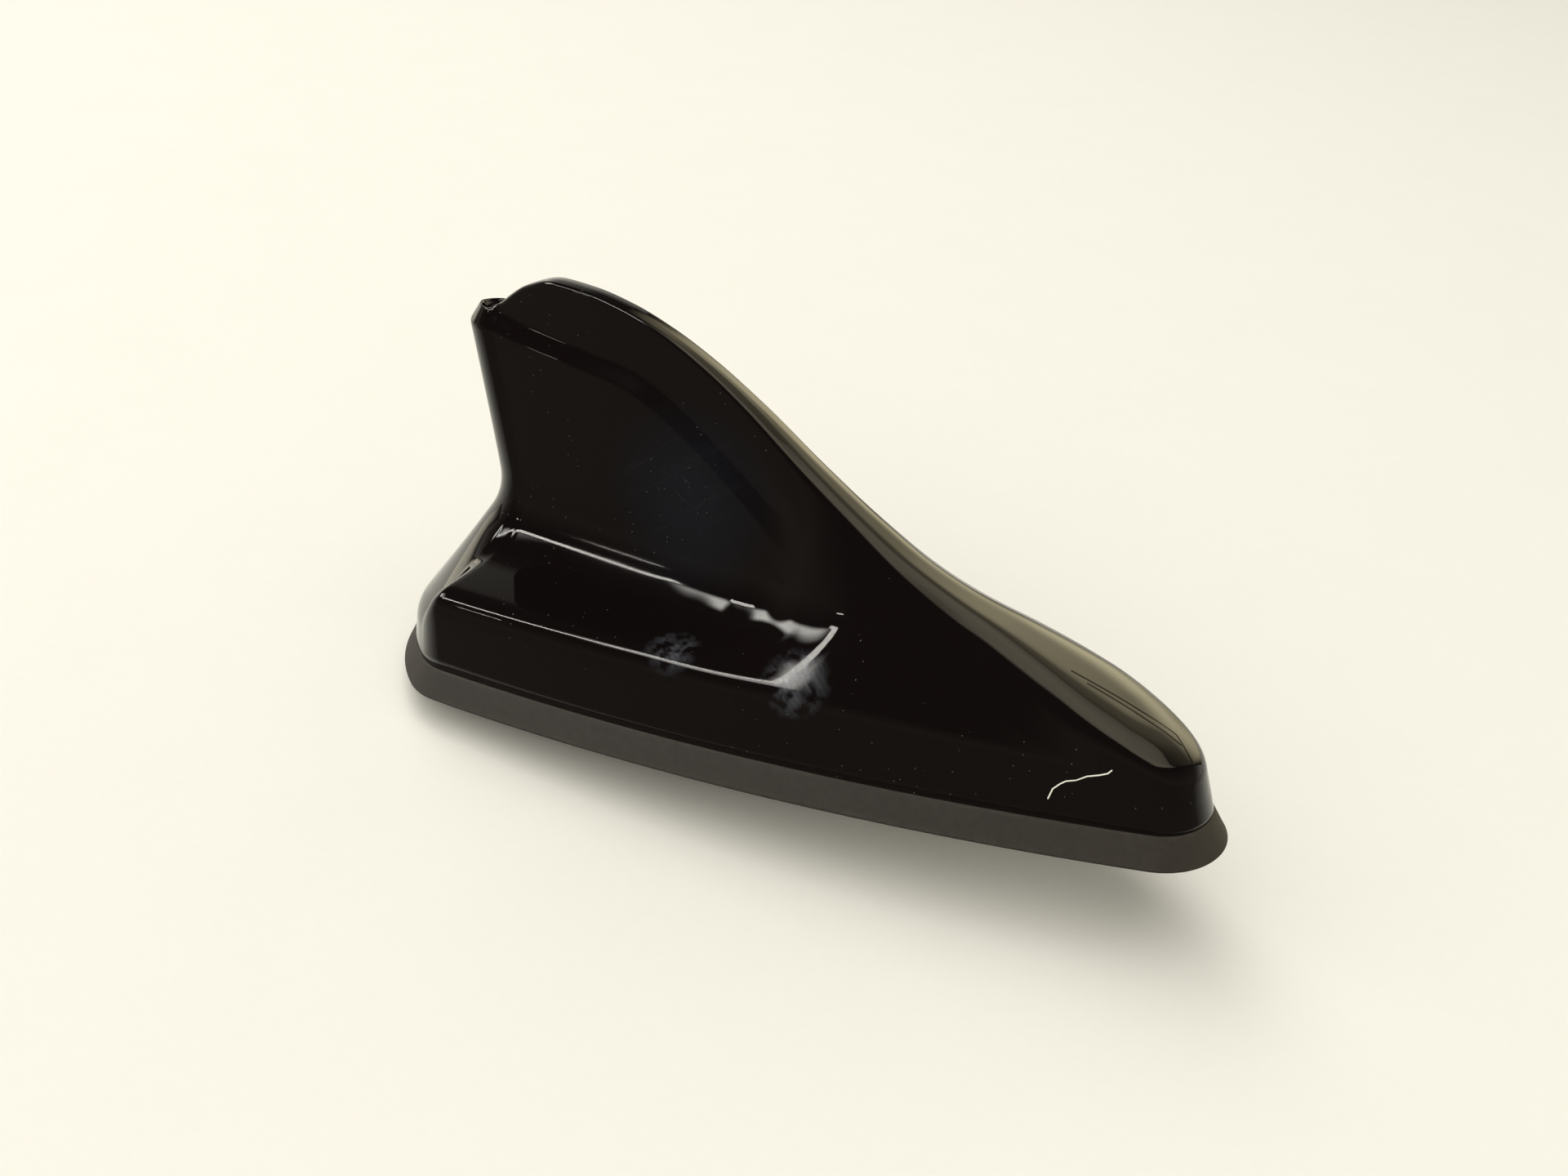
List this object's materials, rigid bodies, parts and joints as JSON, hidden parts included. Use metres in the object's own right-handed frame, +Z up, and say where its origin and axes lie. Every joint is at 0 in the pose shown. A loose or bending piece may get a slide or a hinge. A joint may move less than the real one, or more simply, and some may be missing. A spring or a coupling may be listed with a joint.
{
  "type": "car antenna",
  "caption": "Fin-shaped car roof antenna: glossy black cover over a rubber gasket, a die-cast base with a clamp stem, and radio boards inside.",
  "frame": {"origin": "middle of the gasket's underside, in the plane of the roof skin, half way along the gasket", "axes": "+X forward to the low nose, +Y to the car's left, +Z up out of the roof"},
  "size_m": [0.163, 0.0724, 0.0795],
  "materials": {
    "piano_black": "polished black moulding with fine scratches and dust",
    "gasket_rubber": "matt dark grey moulded rubber",
    "seal_rubber": "soft black seal",
    "die_cast": "as-cast, lightly blasted",
    "zinc_steel": "zinc plated",
    "spring_steel": "dark spring steel",
    "jack_plastic": "black moulded socket block",
    "contact_brass": "plated brass",
    "board_laminate": "green resist over glass laminate",
    "tinned_sheet": "tinned sheet steel",
    "chip_resin": "moulded chip",
    "pad_foam": "white adhesive pad",
    "patch_ceramic": "unglazed microwave ceramic",
    "patch_silver": "fired silver",
    "holder_plastic": "natural white moulding",
    "ferrite": "sintered dark ferrite",
    "copper_wire": "enamelled copper winding"
  },
  "bodies": {
    "root": {"radome_cover": "piano_black", "base_gasket": "gasket_rubber", "stem_seal": "seal_rubber", "cover_seal": "seal_rubber", "base_plate": "die_cast", "cover_screws": "zinc_steel", "board_screws": "zinc_steel", "clamp_claw": "spring_steel", "clamp_bolt": "zinc_steel", "jack_housing": "jack_plastic", "jack_barrels": "contact_brass", "jack_pins": "contact_brass", "main_board": "board_laminate", "shield_cans": "tinned_sheet", "amp_chips": "chip_resin", "nav_pad": "pad_foam", "nav_patch": "patch_ceramic", "nav_face": "patch_silver", "nav_pin": "patch_silver", "fin_board": "board_laminate", "load_plates": "contact_brass", "fin_holders": "holder_plastic", "feed_clips": "contact_brass", "choke_core": "ferrite", "choke_winding": "copper_wire", "phone_radiator_rear": "tinned_sheet", "phone_radiator_front": "tinned_sheet"}
  },
  "joints": []
}
